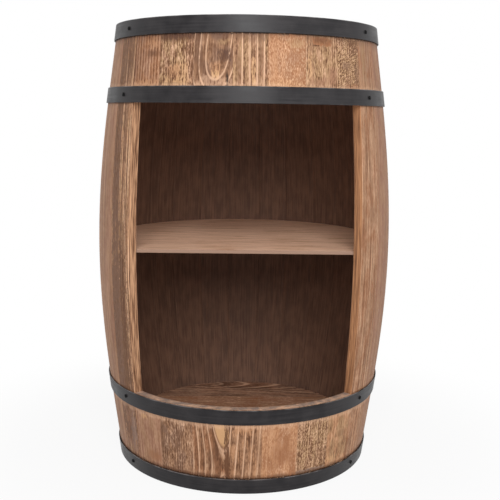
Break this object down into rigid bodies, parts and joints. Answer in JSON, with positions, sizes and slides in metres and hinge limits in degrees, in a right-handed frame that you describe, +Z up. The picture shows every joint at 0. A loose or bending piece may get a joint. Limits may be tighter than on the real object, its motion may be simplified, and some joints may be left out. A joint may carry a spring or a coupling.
{
  "type": "barrel bar cabinet",
  "caption": "Open-fronted barrel-shaped bar cabinet of stained pine staves, with flat black steel hoops, a fixed shelf and recessed board heads.",
  "frame": {"origin": "middle of the footprint, on the surface that the cabinet stands on", "axes": "+Z up, the open front faces -Y, +X to the right as seen from the front"},
  "size_m": [0.548, 0.534, 0.8],
  "materials": {
    "stave_wood": "brushed pine with a matte brown stain, each stave its own tone",
    "head_wood": "pine boards with the same matte brown stain",
    "shelf_wood": "lighter pinkish tan wood, matte",
    "cleat_wood": "stained pine, sawn",
    "hoop_steel": "matte black paint on flat steel strip, lightly rubbed",
    "nail_steel": "black round nail heads"
  },
  "bodies": {
    "root": {"upper_short_stave_1": "stave_wood", "upper_short_stave_2": "stave_wood", "upper_short_stave_3": "stave_wood", "upper_short_stave_4": "stave_wood", "upper_short_stave_5": "stave_wood", "upper_short_stave_6": "stave_wood", "upper_short_stave_7": "stave_wood", "lower_short_stave_1": "stave_wood", "lower_short_stave_2": "stave_wood", "lower_short_stave_3": "stave_wood", "lower_short_stave_4": "stave_wood", "lower_short_stave_5": "stave_wood", "lower_short_stave_6": "stave_wood", "lower_short_stave_7": "stave_wood", "left_jamb_stave": "stave_wood", "right_jamb_stave": "stave_wood", "stave_01": "stave_wood", "stave_02": "stave_wood", "stave_03": "stave_wood", "stave_04": "stave_wood", "stave_05": "stave_wood", "stave_06": "stave_wood", "stave_07": "stave_wood", "stave_08": "stave_wood", "stave_09": "stave_wood", "stave_10": "stave_wood", "stave_11": "stave_wood", "stave_12": "stave_wood", "stave_13": "stave_wood", "stave_14": "stave_wood", "stave_15": "stave_wood", "stave_16": "stave_wood", "stave_17": "stave_wood", "bottom_hoop": "hoop_steel", "lower_bilge_hoop": "hoop_steel", "upper_bilge_hoop": "hoop_steel", "top_hoop": "hoop_steel", "bottom_hoop_left_nail": "nail_steel", "bottom_hoop_right_nail": "nail_steel", "lower_bilge_hoop_left_nail": "nail_steel", "lower_bilge_hoop_right_nail": "nail_steel", "upper_bilge_hoop_left_nail": "nail_steel", "upper_bilge_hoop_right_nail": "nail_steel", "top_hoop_left_nail": "nail_steel", "top_hoop_right_nail": "nail_steel", "bottom_head_board_1": "head_wood", "bottom_head_board_2": "head_wood", "bottom_head_board_3": "head_wood", "bottom_head_board_4": "head_wood", "top_head_board_1": "head_wood", "top_head_board_2": "head_wood", "top_head_board_3": "head_wood", "top_head_board_4": "head_wood", "shelf": "shelf_wood", "shelf_cleat_1": "cleat_wood", "shelf_cleat_2": "cleat_wood", "shelf_cleat_3": "cleat_wood", "shelf_cleat_4": "cleat_wood"}
  },
  "joints": []
}
